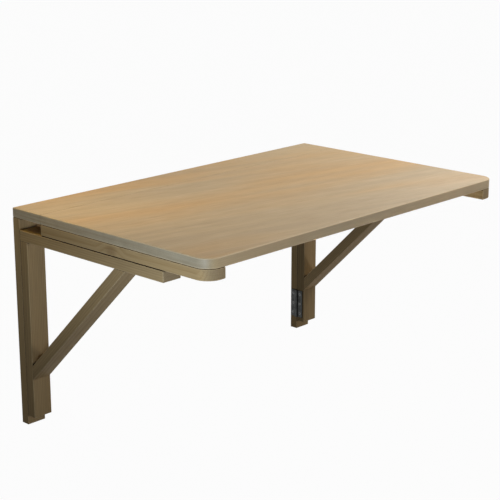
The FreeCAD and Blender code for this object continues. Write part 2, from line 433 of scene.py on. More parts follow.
        # Painted cool side light: upright faces turn greyer.
        upright = sketch.span(level, figure.side_range, (self.side_share, 0.0))
        colour = sketch.mix(upright, colour, self.side)
        line = sketch.noise(point, figure.line_cells, detail=3.0)
        line = sketch.span(line, figure.line_range, NONE_TO_ALL)
        # End grain, its colour partly greyed to paint cool side light.
        end = sketch.span(self.faces(sketch, grain.value), figure.end_range, (0.0, self.end_share))
        return sketch.mix(end, colour, sketch.mix(line, self.end_grain, self.end_line))

    def material(
        self,
        name: str,
        grain: Grain,
        centre: Vector,
        seed: int,
        knots: Sequence[Knot] = (),
        tone: float = 1.0,
    ) -> Material:
        """Make the material of one piece of pine.

        Args:
            name: Name of the material.
            grain: Direction of the fibres.
            centre: Middle of the piece.
            seed: Which cut of wood this is, so that no two pieces look alike.
            knots: Knots in the piece.
            tone: How light the piece is drawn, with one for the usual pine; below one it is partly painted
                shade.

        Returns:
            The finished material.
        """
        material, sketch = new_material(name)
        figure = self.figure
        point = self.place(sketch, grain, centre)
        turn = grain.turn()
        spots = [(turn @ (Vector(knot.centre) - centre), knot.radius) for knot in knots]
        fields = self.knot_fields(sketch, point, spots)
        late = self.rings(sketch, point, seed, fields)
        offset = [step * seed for step in figure.seed_step]
        drift = self.slanted(sketch, sketch.vector("ADD", point, offset).outputs[0])
        fibre = sketch.noise(drift, figure.fibre_cells, detail=4.0)
        streak = sketch.noise(drift, figure.streak_cells, detail=3.0)
        cloud = sketch.noise(drift, figure.cloud_cells)

        colour = self.sawn(sketch, self.planed(sketch, late, cloud), point, grain)
        # Painted shade: ambient occlusion darkens the colour in creases, grooves and joints between parts,
        # where shade falls.
        reach = {"Distance": self.groove_reach}
        open_share = sketch.add("ShaderNodeAmbientOcclusion", reach, samples=8).outputs["AO"]
        # Eased edges drawn lighter where they lie open: partly wear, partly a painted highlight where light
        # catches them.
        rim = sketch.add("ShaderNodeAttribute", attribute_name=RIM).outputs["Fac"]
        wear_and_highlight_mask = sketch.span(open_share, figure.worn_range, (0.0, self.rim_share))
        colour = sketch.mix(sketch.math("MULTIPLY", rim, wear_and_highlight_mask), colour, self.worn)

        shade = sketch.math(
            "ADD",
            sketch.span(streak, figure.streak_range, figure.streak_tones),
            sketch.span(cloud, figure.cloud_range, figure.cloud_tones),
        )
        fibre_tone = sketch.span(fibre, figure.fibre_range, (1.0 - self.fibre_share, 1.0))
        # Painted shade from ambient occlusion; the piece's tone scales the whole colour.
        crease_shade = sketch.span(open_share, figure.groove_range, (self.groove_tone * tone, tone))
        shade = sketch.math("MULTIPLY", sketch.math("MULTIPLY", shade, fibre_tone), crease_shade)
        colour = sketch.vector("SCALE", colour).outputs[0]
        sketch.feed(colour.node.inputs["Scale"], shade)
        for knot in fields:
            core = sketch.span(knot, figure.knot_range, figure.knot_shares)
            colour = sketch.mix(core, colour, self.knot_core)

        gloss = sketch.span(fibre, figure.fibre_range, figure.fibre_gloss)
        height = sketch.math("ADD", fibre, sketch.math("MULTIPLY", late, figure.ring_relief))
        shader = sketch.add(
            "ShaderNodeBsdfPrincipled",
            {
                "Base Color": colour,
                "Roughness": sketch.math("ADD", gloss, self.roughness),
                "Normal": sketch.bump(height, figure.relief_strength, figure.relief_depth),
                "Specular IOR Level": self.specular,
            },
        )
        sketch.add("ShaderNodeOutputMaterial", {"Surface": shader.outputs[0]})
        return material


@dataclass(frozen=True)
class SteelFinish:
    """Plain steel with fine rolling lines, dull patches and a slightly uneven gloss."""

    name: str
    base: Colour
    dull: Colour
    roughness: float
    line_cells: Triple
    line_range: Span = (0.3, 0.7)
    line_gloss: Span = (-0.05, 0.05)
    patch_cells: Triple = (140.0, 140.0, 140.0)
    patch_range: Span = (0.3, 0.7)
    patch_gloss: Span = (-0.06, 0.1)
    dull_range: Span = (0.42, 0.72)
    dull_share: float = 0.8
    relief_strength: float = 0.12
    relief_depth: float = 0.05 * MM

    def material(self) -> Material:
        """Make the material.

        Returns:
            The finished material.
        """
        material, sketch = new_material(self.name)
        point = sketch.add("ShaderNodeTexCoord").outputs["Object"]
        line = sketch.noise(point, self.line_cells, detail=3.0)
        patch = sketch.noise(point, self.patch_cells, detail=3.0)
        dull = sketch.span(patch, self.dull_range, (0.0, self.dull_share))
        rough = sketch.math("ADD", sketch.span(patch, self.patch_range, self.patch_gloss), self.roughness)
        rough = sketch.math("ADD", rough, sketch.span(line, self.line_range, self.line_gloss))
        shader = sketch.add(
            "ShaderNodeBsdfPrincipled",
            {
                "Base Color": sketch.mix(dull, self.base, self.dull),
                "Metallic": 1.0,
                "Roughness": rough,
                "Normal": sketch.bump(line, self.relief_strength, self.relief_depth),
            },
        )
        sketch.add("ShaderNodeOutputMaterial", {"Surface": shader.outputs[0]})
        return material


def body_of(node: str) -> str:
    """Name of the body that carries a node."""
    bodies = frame["record"]["behaviour"]["bodies"]
    return next(body for body, nodes in bodies.items() if node in nodes)


def joint_point(name: str) -> Vector:
    """Point on a joint's axis."""
    return Vector(next(joint for joint in frame["joints"] if joint["name"] == name)["pos_m"])


def put_in_scene(name: str, data: bpy.types.ID) -> Piece:
    """Make an object in the scene.

    Args:
        name: Name of the object.
        data: Mesh, lamp or camera that it shows.

    Returns:
        The new object.
    """
    piece = bpy.data.objects.new(name, data)
    bpy.context.scene.collection.objects.link(piece)
    return piece


def link_mesh(name: str, sketch: bmesh.types.BMesh) -> Piece:
    """Turn a mesh sketch into an object in the scene.

    Args:
        name: Name of the object.
        sketch: Mesh, which is freed.

    Returns:
        The new object, with faces that point outwards.
    """
    bmesh.ops.recalc_face_normals(sketch, faces=sketch.faces)
    mesh = bpy.data.meshes.new(name)
    sketch.to_mesh(mesh)
    sketch.free()
    return put_in_scene(name, mesh)


def loft(name: str, rings: Sequence[Sequence[Vector]]) -> Piece:
    """Closed solid over rings of equally many points.

    Args:
        name: Name of the object.
        rings: Points around each section, in order.

    Returns:
        The new object.
    """
    sketch = bmesh.new()
    rows = [[sketch.verts.new(point) for point in ring] for ring in rings]
    for lower, upper in zip(rows, rows[1:]):
        for index in range(len(lower)):
            sketch.faces.new([lower[index - 1], lower[index], upper[index], upper[index - 1]])
    sketch.faces.new(rows[0])
    sketch.faces.new(rows[-1])
    return link_mesh(name, sketch)


def prism(name: str, outline: Sequence[Vector], run: Vector) -> Piece:
    """Straight solid from a flat outline along a way."""
    return loft(name, [outline, [corner + run for corner in outline]])


def settle(piece: Piece) -> None:
    """Turn a piece with its modifiers into a plain mesh.

    Args:
        piece: Piece whose modifiers are used up.
    """
    bpy.context.view_layer.update()
    drawn = piece.evaluated_get(bpy.context.evaluated_depsgraph_get())
    mesh = bpy.data.meshes.new_from_object(drawn)
    piece.modifiers.clear()
    old = piece.data
    piece.data = mesh
    mesh.name = piece.name
    bpy.data.meshes.remove(old)


def combine(piece: Piece, tools: Iterable[Piece], operation: str) -> None:
    """Join or cut a piece with other solids, which are used up.

    Args:
        piece: Piece that changes.
        tools: Solids that are joined to it or cut from it.
        operation: UNION or DIFFERENCE.
    """
    tools = list(tools)
    for tool in tools:
        change = piece.modifiers.new(operation.lower(), "BOOLEAN")
        change.operation = operation
        change.object = tool
        change.solver = "EXACT"
    settle(piece)
    for tool in tools:
        bpy.data.meshes.remove(tool.data)


def mark_rims(mesh: bpy.types.Mesh, width: float) -> None:
    """Mark the narrow faces along eased edges, which the finish draws lighter: partly wear, partly painted
    highlight.

    Args:
        mesh: Mesh with eased edges.
        width: Radius of the easing.
    """
    rims = mesh.attributes.new(RIM, "FLOAT", "FACE")
    for polygon, rim in zip(mesh.polygons, rims.data):
        corners = [mesh.vertices[index].co for index in polygon.vertices]
        longest = max((end - start).length for start, end in zip(corners, corners[1:] + corners[:1]))
        rim.value = float(polygon.area < longest * width)


def ease(piece: Piece, width: float, segments: int = 4, seam: float | None = None) -> None:
    """Round the sharp edges of a piece and shade it smoothly.

    Args:
        piece: Piece with square edges.
        width: Radius of the rounding.
        segments: Steps of the rounding.
        seam: Y of a seam, whose edges are rounded far less.
    """
    sketch = bmesh.new()
    sketch.from_mesh(piece.data)
    shares = sketch.edges.layers.float.new("bevel_weight_edge")
    for edge in sketch.edges:
        if edge.calc_face_angle(0.0) > SHARP_ANGLE:
            along_seam = seam is not None and all(
                abs(vert.co.y - seam) < SEAM_TOLERANCE for vert in edge.verts
            )
            edge[shares] = SEAM_SHARE if along_seam else 1.0
    sketch.to_mesh(piece.data)
    sketch.free()
    for polygon in piece.data.polygons:
        polygon.use_smooth = True
    bevel = piece.modifiers.new("eased_edges", "BEVEL")
    bevel.width = width
    bevel.segments = segments
    bevel.limit_method = "WEIGHT"
    bevel.loop_slide = False
    bevel.harden_normals = True
    settle(piece)
    mark_rims(piece.data, width)


def arc(
    centre: Vector, radius: float, start: float, end: float, first: Vector, second: Vector
) -> list[Vector]:
    """Points along an arc.

    Args:
        centre: Centre of the arc.
        radius: Its radius.
        start: First angle, in degrees from the first direction towards the second.
        end: Last angle.
        first: Direction of angle 0.
        second: Direction of angle 90.

    Returns:
        Points about every six degrees.
    """
    steps = max(2, round(abs(end - start) / ARC_STEP))
    points = []
    for index in range(steps + 1):
        angle = math.radians(start + (end - start) * index / steps)
        points.append(centre + radius * (math.cos(angle) * first + math.sin(angle) * second))
    return points


def circle(centre: Vector, radius: float, way: Vector) -> list[Vector]:
    """Points around a circle that faces a way."""
    first = way.orthogonal().normalized()
    return arc(centre, radius, 0, 360, first, way.normalized().cross(first))[:-1]


def rod(name: str, start: Vector, run: Vector, radius: float) -> Piece:
    """Round solid from a point along a way."""
    return prism(name, circle(start, radius, run), run)


def countersink(spot: Vector, way: Vector, radius: float, depth: float, bore: float = 0.0) -> Piece:
    """Cutter for a countersunk hole.

    Args:
        spot: Middle of the hole, on the surface.
        way: Direction that the surface faces.
        radius: Radius at the surface, from which the hole narrows at 45 degrees.
        depth: How deep the cutter goes.
        bore: Radius that the hole narrows to at most.

    Returns:
        A cutter that reaches past the surface.
    """
    profile = [(CUT_PAST, radius + CUT_PAST)]
    if bore > radius - depth:
        profile.append((bore - radius, bore))
    profile.append((-depth, max(bore, radius - depth)))
    return loft("countersink", [circle(spot + way * level, size, way) for level, size in profile])


def present(piece: Piece, material: Material, slot: str, *nodes: str) -> None:
    """Finish a piece and let it stand for its nodes.

    Args:
        piece: Finished mesh.
        material: Its material.
        slot: Slot of the record that the finish belongs to; not used.
        nodes: Nodes that the piece replaces, all of one body.
    """
    piece.data.materials.clear()
    piece.data.materials.append(material)
    body = body_of(nodes[0])
    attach(piece, body)
    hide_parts(*nodes)
    LOG.info("%s rides on %s and has %d faces", piece.name, body, len(piece.data.polygons))


def plank(name: str, low: Vector, high: Vector) -> Piece:
    """Straight piece of timber between two corners, with square edges."""
    corners = ((low.x, low.y), (high.x, low.y), (high.x, high.y), (low.x, high.y))
    return prism(name, [Vector((x, y, low.z)) for x, y in corners], Z * (high.z - low.z))


@dataclass
class Joinery:
    """What all wooden sub-assemblies share: easing of the edges and the finishes."""

    edge_radius: float = 1.6 * MM
    strip_edge_radius: float = 1.0 * MM
    panel_seed: int = 9
    bracket_seeds: dict[Side, int] = field(default_factory=lambda: {Side.LEFT: 10, Side.RIGHT: 14})
    top_pine: PineFinish = PineFinish(
        early=(0.52, 0.363, 0.176, 1.0),
        late=(0.395, 0.235, 0.095, 1.0),
        warm=(0.53, 0.308, 0.10, 1.0),
        # End faces of the top: end grain drawn paler and greyer, partly painting cool light on the board's
        # ends.
        end_grain=(0.375, 0.325, 0.228, 1.0),
        end_line=(0.285, 0.235, 0.155, 1.0),
        ring_width=6.5 * MM,
        ring_wander=22 * MM,
        calm_ring_share=0.3,
        warm_share=0.9,
        # Painted cool side light on the top's upright faces.
        side_share=0.6,
        end_share=0.7,
        # Eased edges of the top: partly wear, partly painted highlight.
        rim_share=0.65,
        figure_slant=0.2,
        specular=0.32,
    )
    strip_pine: PineFinish = PineFinish()
    # Lightness of single strips: partly tone that differs between strips, partly painted shade, darkest on
    # the right stile and post deep under the top.
    strip_tones: dict[str, float] = field(
        default_factory=lambda: {
            "stile_right": 0.67,
            "wall_post_right": 0.8,
            "stile_left": 0.88,
            "wall_post_left": 0.95,
            "batten_left": 0.95,
            "arm_left": 0.96,
            "brace_left": 0.86,
        }
    )

    def finish_board(self, piece: Piece, node: str, seam: float) -> None:
        """Ease and dress one of the two boards of the top, sawn from one panel.

        Args:
            piece: Board with square edges.
            node: Node that it replaces.
            seam: Y of its edge along the seam.
        """
        ease(piece, self.edge_radius, seam=seam)
        grain = Grain.ALONG_WIDTH
        material = self.top_pine.material(f"pine_{node}", grain, PANEL_MIDDLE, self.panel_seed)
        present(piece, material, "top_pine", node)

    def finish_strip(
        self,
        piece: Piece,
        node: str,
        grain: Grain,
        seed: int,
        knots: Sequence[Knot] = (),
        edge_radius: float | None = None,
    ) -> None:
        """Ease and dress one strip.

        Args:
            piece: Strip with square edges.
            node: Node that it replaces.
            grain: Direction of its fibres.
            seed: Which cut of wood it is.
            knots: Knots in it.
            edge_radius: Radius of its edges, where it isn't that of other strips.
        """
        ease(piece, edge_radius or self.strip_edge_radius)
        low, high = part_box(node)
        # Strip tone, partly painted shade.
        tone = self.strip_tones.get(node, 1.0)
        material = self.strip_pine.material(f"pine_{node}", grain, (low + high) / 2, seed, knots, tone)
        present(piece, material, "strip_pine", node)


@dataclass
class Leaf:
    """Hinged front part of the top, with a batten under each side."""

    joinery: Joinery
    corner_radius: float = 29 * MM
    first_batten_seed: int = 4
    batten_knots: dict[Side, tuple[Knot, ...]] = field(
        default_factory=lambda: {
            Side.LEFT: (Knot((-0.4, -0.268, 0.0095), 7.5 * MM),),
            Side.RIGHT: (Knot((0.362, -0.33, 0.004), 6 * MM),),
        }
    )

    def board(self) -> None:
        """Board with both front corners rounded."""
        low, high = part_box("leaf_board")
        r = self.corner_radius
        outline = [Vector((high.x, high.y, low.z)), Vector((low.x, high.y, low.z))]
        outline += arc(Vector((low.x + r, low.y + r, low.z)), r, 180, 270, X, Y)
        outline += arc(Vector((high.x - r, low.y + r, low.z)), r, 270, 360, X, Y)
        piece = prism("leaf_top", outline, Z * (high.z - low.z))
        self.joinery.finish_board(piece, "leaf_board", high.y)

    def batten(self, side: Side, seed: int) -> None:
        """Build the strip under one side, rounded at its outer front corner.

        Args:
            side: Side of the desk.
            seed: Which cut of wood it is.
        """
        node = f"batten_{side.word}"
        low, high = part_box(node)
        outer, inner = (low.x, high.x) if side is Side.LEFT else (high.x, low.x)
        r = self.corner_radius
        away = X * side.value
        outline = [Vector((inner, high.y, low.z)), Vector((outer, high.y, low.z))]
        outline += arc(Vector((outer, low.y + r, low.z)) - away * r, r, 0, -90, away, Y)
        outline.append(Vector((inner, low.y, low.z)))
        piece = prism(f"leaf_batten_{side.word}", outline, Z * (high.z - low.z))
        self.joinery.finish_strip(
            piece, node, Grain.ALONG_DEPTH, seed, self.batten_knots[side], self.joinery.edge_radius
        )

    def build(self) -> None:
        """Build the board and both battens."""
        self.board()
        for seed, side in enumerate(Side, start=self.first_batten_seed):
            self.batten(side, seed)


@dataclass
class WallFrame:
    """What stays on the wall: shelf, rail and posts."""

    joinery: Joinery
    wall_hole_radius: float = 2.75 * MM
    wall_sink_radius: float = 5.25 * MM
    rail_hole_x: float = 280 * MM
    post_hole_height: float = 100 * MM
    rail_seed: int = 3
    first_post_seed: int = 6

    def shelf(self) -> None:
        """Fixed rear part of the top."""
        low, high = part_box("back_shelf")
        piece = plank("rear_shelf", low, high)
        self.joinery.finish_board(piece, "back_shelf", low.y)

    def drill(self, piece: Piece, places: Iterable[Span], low: Vector, high: Vector) -> None:
        """Cut countersunk wall screw holes through a strip.

        Args:
            piece: Strip against the wall.
            places: X and Z of each hole.
            low: Lowest corner of the strip.
            high: Highest corner of the strip.
        """
        depth = high.y - low.y + CUT_PAST
        cuts = [
            countersink(Vector((x, low.y, z)), -Y, self.wall_sink_radius, depth, self.wall_hole_radius)
            for x, z in places
        ]
        combine(piece, cuts, "DIFFERENCE")

    def rail(self) -> None:
        """Level strip between the posts, under the shelf."""
        low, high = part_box("wall_rail")
        low.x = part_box("wall_post_left")[1].x
        high.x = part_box("wall_post_right")[0].x
        high.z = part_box("back_shelf")[0].z
        piece = plank("rail", low, high)
        self.drill(piece, [(side.value * self.rail_hole_x, 0.0) for side in Side], low, high)
        self.joinery.finish_strip(piece, "wall_rail", Grain.ALONG_WIDTH, self.rail_seed)

    def post(self, side: Side, seed: int) -> None:
        """Build the upright strip behind one bracket.

        Args:
            side: Side of the desk.
            seed: Which cut of wood it is.
        """
        node = f"wall_post_{side.word}"
        low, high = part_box(node)
        piece = plank(f"post_{side.word}", low, high)
        self.drill(piece, [((low.x + high.x) / 2, low.z + self.post_hole_height)], low, high)
        self.joinery.finish_strip(piece, node, Grain.UPRIGHT, seed)

    def build(self) -> None:
        """Build the shelf, the rail and both posts."""
        self.shelf()
        self.rail()
        for seed, side in enumerate(Side, start=self.first_post_seed):
            self.post(side, seed)


@dataclass
class Bracket:
    """One swing bracket: stile, arm and brace."""

    joinery: Joinery
    side: Side
    brace_leg: float = 236 * MM
    brace_thickness: float = 20 * MM

    @property
    def seed(self) -> int:
        """Which cut of wood the stile is, with the arm's and the brace's after it."""
        return self.joinery.bracket_seeds[self.side]

    def stile(self) -> None:
        """Upright strip in front of the post."""
        node = f"stile_{self.side.word}"
        low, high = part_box(node)
        high.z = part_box(f"arm_{self.side.word}")[0].z
        piece = plank(f"bracket_stile_{self.side.word}", low, high)
        self.joinery.finish_strip(piece, node, Grain.UPRIGHT, self.seed)

    def arm(self) -> None:
        """Level strip under the batten."""
        node = f"arm_{self.side.word}"
        piece = plank(f"bracket_arm_{self.side.word}", *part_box(node))
        self.joinery.finish_strip(piece, node, Grain.ALONG_DEPTH, self.seed + 1)

    def brace(self) -> None:
        """Sloping strip from the stile to the arm, cut to seat on both."""
        node = f"brace_{self.side.word}"
        low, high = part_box(node)
        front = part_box(f"stile_{self.side.word}")[0].y
        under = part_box(f"arm_{self.side.word}")[0].z
        cut = self.brace_thickness * math.sqrt(2)
        reach = self.brace_leg + cut
        corners = ((0.0, self.brace_leg), (self.brace_leg, 0.0), (reach, 0.0), (0.0, reach))
        outline = [Vector((low.x, front - forward, under - down)) for forward, down in corners]
        piece = prism(f"bracket_brace_{self.side.word}", outline, X * (high.x - low.x))
        self.joinery.finish_strip(piece, node, Grain.SLOPING, self.seed + 2)

    def build(self) -> None:
        """Build the three strips."""
        self.stile()
        self.arm()
        self.brace()


@dataclass
class ScrewTree:
    """Geometry Nodes that set countersunk screws with a cross recess at points with a direction."""

    head_radius: float
    shank_radius: float
    length: float
    recess_share: float = 0.62
    recess_width_share: float = 0.2
    tip_share: float = 0.22
    sides: int = 28
    direction: str = "direction"

    @property
    def head_height(self) -> float:
        """Height of the countersunk head, at 45 degrees."""
        return self.head_radius - self.shank_radius

    def sizes(self) -> dict[str, float]:
        """List the lengths of one screw.

        Returns:
            Length for each of the tree's inputs.
        """
        return {
            "Head Radius": self.head_radius,
            "Head Height": self.head_height,
            "Shank Radius": self.shank_radius,
            "Shank Length": self.length * (1 - self.tip_share) - self.head_height,
            "Tip Length": self.length * self.tip_share,
            "Recess Length": 2 * self.head_radius * self.recess_share,
            "Recess Width": 2 * self.head_radius * self.recess_width_share,
            "Recess Depth": 2 * self.head_height * self.recess_share,
        }

    def lowered(self, sketch: NodeSketch, shape: Socket, drop: Any) -> Socket:
        """Move a shape down.

        Args:
            sketch: Nodes of the tree.
            shape: Shape to move.
            drop: Length to move it by.

        Returns:
            The moved shape.
        """
        down = sketch.math("MULTIPLY", drop, -1.0)
        move = sketch.add("ShaderNodeCombineXYZ", {"Z": down}).outputs[0]
        return sketch.add("GeometryNodeTransform", {"Geometry": shape, "Translation": move}).outputs[0]

    def cone(self, sketch: NodeSketch, top: Any, bottom: Any, depth: Any) -> Socket:
        """Cone along Z from 0 up to a depth."""
        inputs = {"Vertices": self.sides, "Radius Top": top, "Radius Bottom": bottom, "Depth": depth}
        return sketch.add("GeometryNodeMeshCone", inputs).outputs["Mesh"]

    def recess(self, sketch: NodeSketch, given: Any) -> Socket:
        """Cross two blades that cut the recess.

        Args:
            sketch: Nodes of the tree.
            given: Inputs of the tree, by name.

        Returns:
            Both blades as one shape.
        """
        blades = []
        for first, second in (("Recess Length", "Recess Width"), ("Recess Width", "Recess Length")):
            size = sketch.add(
                "ShaderNodeCombineXYZ", {"X": given[first], "Y": given[second], "Z": given["Recess Depth"]}
            )
            blades.append(sketch.add("GeometryNodeMeshCube", {"Size": size.outputs[0]}).outputs["Mesh"])
        join = sketch.add("GeometryNodeMeshBoolean", operation="UNION")
        for blade in blades:
            sketch.tree.links.new(blade, join.inputs["Mesh 2"])
        return join.outputs["Mesh"]

    def screw(self, sketch: NodeSketch, given: Any) -> Socket:
        """Shape one screw, with its head flush at the origin and its shank down -Z.

        Args:
            sketch: Nodes of the tree.
            given: Inputs of the tree, by name.

        Returns:
            The screw's shape.
        """
        head = self.cone(sketch, given["Head Radius"], given["Shank Radius"], given["Head Height"])
        head = self.lowered(sketch, head, given["Head Height"])
        cut = sketch.add("GeometryNodeMeshBoolean", operation="DIFFERENCE")
        sketch.tree.links.new(head, cut.inputs["Mesh 1"])
        sketch.tree.links.new(self.recess(sketch, given), cut.inputs["Mesh 2"])
        shank_end = sketch.math("ADD", given["Head Height"], given["Shank Length"])
        shank = self.cone(sketch, given["Shank Radius"], given["Shank Radius"], given["Shank Length"])
        tip_end = sketch.math("ADD", shank_end, given["Tip Length"])
        tip = self.cone(sketch, given["Shank Radius"], 0.0, given["Tip Length"])
        join = sketch.add("GeometryNodeJoinGeometry")
        shank, tip = self.lowered(sketch, shank, shank_end), self.lowered(sketch, tip, tip_end)
        for shape in (cut.outputs["Mesh"], shank, tip):
            sketch.tree.links.new(shape, join.inputs[0])
        return join.outputs[0]

    def tree(self) -> bpy.types.NodeTree:
        """Build the tree.

        Returns:
            A tree with the screw's sizes, a material and a seed as its named inputs.
        """
        tree = bpy.data.node_groups.new("countersunk_screws", "GeometryNodeTree")
        sketch = NodeSketch(tree)
        face = tree.interface
        face.new_socket("Geometry", in_out="INPUT", socket_type="NodeSocketGeometry")
        for name in self.sizes():
            face.new_socket(name, in_out="INPUT", socket_type="NodeSocketFloat")
        face.new_socket("Seed", in_out="INPUT", socket_type="NodeSocketInt")
        face.new_socket("Material", in_out="INPUT", socket_type="NodeSocketMaterial")
        face.new_socket("Geometry", in_out="OUTPUT", socket_type="NodeSocketGeometry")
        given = sketch.add("NodeGroupInput").outputs
        direction = {"Name": self.direction}
        way = sketch.add("GeometryNodeInputNamedAttribute", direction, data_type="FLOAT_VECTOR")
        aimed = sketch.add("FunctionNodeAlignRotationToVector", {"Vector": way.outputs[0]}, axis="Z")
        spin = sketch.add("FunctionNodeRandomValue", {"Seed": given["Seed"]}, data_type="FLOAT")
        spin.inputs[3].default_value = math.tau
        about = sketch.add("ShaderNodeCombineXYZ", {"Z": spin.outputs[1]})
        local = sketch.add("FunctionNodeEulerToRotation", {0: about.outputs[0]})
        turned = sketch.add(
            "FunctionNodeRotateRotation", {0: aimed.outputs[0], 1: local.outputs[0]}, rotation_space="LOCAL"
        )
        points = sketch.add("GeometryNodeMeshToPoints", {"Mesh": given["Geometry"]})
        placed = sketch.add(
            "GeometryNodeInstanceOnPoints",
            {
                "Points": points.outputs[0],
                "Instance": self.screw(sketch, given),
                "Rotation": turned.outputs[0],
            },
        )
        solid = sketch.add("GeometryNodeRealizeInstances", {"Geometry": placed.outputs[0]})
        finish = {"Geometry": solid.outputs[0], "Material": given["Material"]}
        dressed = sketch.add("GeometryNodeSetMaterial", finish)
        sketch.add("NodeGroupOutput", {0: dressed.outputs[0]})
        return tree

    def place(
        self,
        name: str,
        spots: Sequence[Spot],
        material: Material,
        seed: int,
        node: str,
    ) -> None:
        """Set a group of screws.

        Args:
            name: Name of the piece.
            spots: Middle of each head and the way that it faces.
            material: Finish of the screws.
            seed: Seed of the turn that each screw is left at.
            node: Node that the group replaces.
        """
        mesh = bpy.data.meshes.new(name)
        mesh.from_pydata([spot for spot, _ in spots], [], [])
        ways = mesh.attributes.new(self.direction, "FLOAT_VECTOR", "POINT")
        ways.data.foreach_set("vector", [part for _, way in spots for part in way])
        piece = put_in_scene(name, mesh)
        tree = self.tree()
        modifier = piece.modifiers.new("screws", "NODES")
        modifier.node_group = tree
        values = {**self.sizes(), "Seed": seed, "Material": material}
        for item in tree.interface.items_tree:
            if item.in_out == "INPUT" and item.name in values:
                modifier[item.identifier] = values[item.name]
        settle(piece)
        present(piece, material, "screw_steel", node)


@dataclass
class ButtHinge:
    """A butt hinge: two plates rolled around one pin."""

    name: str
    axis: Vector
    along: Vector
    out: Vector
    length: float
    barrel_radius: float = 2.8 * MM
    bore_radius: float = 1.45 * MM
    pin_radius: float = 1.4 * MM
    plate_width: float = 16 * MM
    plate_start: float = 3.1 * MM
    plate_thickness: float = 1.5 * MM
    knuckles: int = 3
    knuckle_gap: float = 0.3 * MM
    sheet_edge_radius: float = 0.22 * MM
    pin_edge_radius: float = 0.35 * MM
    sink_clearance: float = 0.06 * MM
    roll_end_angle: float = -22.0
    screw_shares: tuple[float, ...] = (-0.36, 0.0, 0.36)
    screw: ScrewTree = field(default_factory=lambda: ScrewTree(3.0 * MM, 1.5 * MM, 14 * MM))

    def at(self, across: float, outward: float, along: float) -> Vector:
        """Point beside the axis: across towards the wall, outward from the wood, and along the pin."""
        return self.axis + Y * across + self.out * outward + self.along * along

    def screw_spots(self, half: Half) -> list[Spot]:
        """Find the screw heads in one plate.

        Args:
            half: Half of the hinge.

        Returns:
            Middle of each head and the way that it faces.
        """
        line = half.value * (self.plate_start + self.plate_width) / 2
        level = self.plate_thickness - self.barrel_radius
        return [(self.at(line, level, share * self.length), self.out) for share in self.screw_shares]

    def knuckle_spans(self, half: Half) -> list[Span]:
        """Share out the pin's length among the knuckles.

        Args:
            half: Half of the hinge.

        Returns:
            Ends of each knuckle of that half, from the middle of the pin.
        """
        pitch = self.length / self.knuckles
        spans = []
        for index in range(0 if half is Half.FIXED else 1, self.knuckles, 2):
            low = index * pitch - self.length / 2
            high = low + pitch
            low += self.knuckle_gap / 2 if index > 0 else 0.0
            high -= self.knuckle_gap / 2 if index < self.knuckles - 1 else 0.0
            spans.append((low, high))
        return spans

    def roll_outline(self, half: Half, along: float) -> list[Vector]:
        """Draw the section of a knuckle, whose sheet comes in along the wood and curls around the bore.

        Args:
            half: Half of the hinge.
            along: Place along the pin.

        Returns:
            Points around the section.
        """
        centre = self.at(0.0, 0.0, along)
        away = Y * half.value
        under = -self.barrel_radius
        lap = self.plate_start + self.knuckle_gap
        outline = [self.at(half.value * lap, under, along)]
        outline += arc(centre, self.barrel_radius, -90, -360 + self.roll_end_angle, away, self.out)
        outline += arc(centre, self.bore_radius, -360 + self.roll_end_angle, -90, away, self.out)
        edge = under + self.plate_thickness
        outline.append(self.at(half.value * lap, edge, along))
        return outline

    def plate(self, half: Half, material: Material) -> None:
        """Build a sheet plate with its knuckles and countersunk holes.

        Args:
            half: Half of the hinge.
            material: Finish of the steel.
        """
        node = f"{self.name}_{half.word}_plate"
        under = -self.barrel_radius
        over = under + self.plate_thickness
        near, far = half.value * self.plate_start, half.value * self.plate_width
        corners = ((near, under), (far, under), (far, over), (near, over))
        outline = [self.at(across, outward, -self.length / 2) for across, outward in corners]
        piece = prism(f"{self.name}_{half.word}_leaf", outline, self.along * self.length)
        rolls = [
            prism("roll", self.roll_outline(half, low), self.along * (high - low))
            for low, high in self.knuckle_spans(half)
        ]
        combine(piece, rolls, "UNION")
        cuts = []
        for spot, way in self.screw_spots(half):
            radius = self.screw.head_radius + self.sink_clearance
            cuts.append(countersink(spot, way, radius, self.plate_thickness + CUT_PAST))
        combine(piece, cuts, "DIFFERENCE")
        ease(piece, self.sheet_edge_radius, segments=2)
        present(piece, material, "hinge_steel", node)

    def pin(self, material: Material) -> None:
        """Build the pin through all knuckles, with eased ends.

        Args:
            material: Finish of the steel.
        """
        start = self.at(0.0, 0.0, -self.length / 2)
        piece = rod(f"{self.name}_rod", start, self.along * self.length, self.pin_radius)
        ease(piece, self.pin_edge_radius, segments=3)
        present(piece, material, "hinge_steel", f"{self.name}_pin")

    def build(self, material: Material) -> None:
        """Build both plates and the pin.

        Args:
            material: Finish of the steel.
        """
        for half in Half:
            self.plate(half, material)
        self.pin(material)


def screw_heads(hinges: Iterable[ButtHinge], half: Half) -> list[Spot]:
    """Middle and facing of every screw head in one half of some hinges."""
    return [spot for hinge in hinges for spot in hinge.screw_spots(half)]


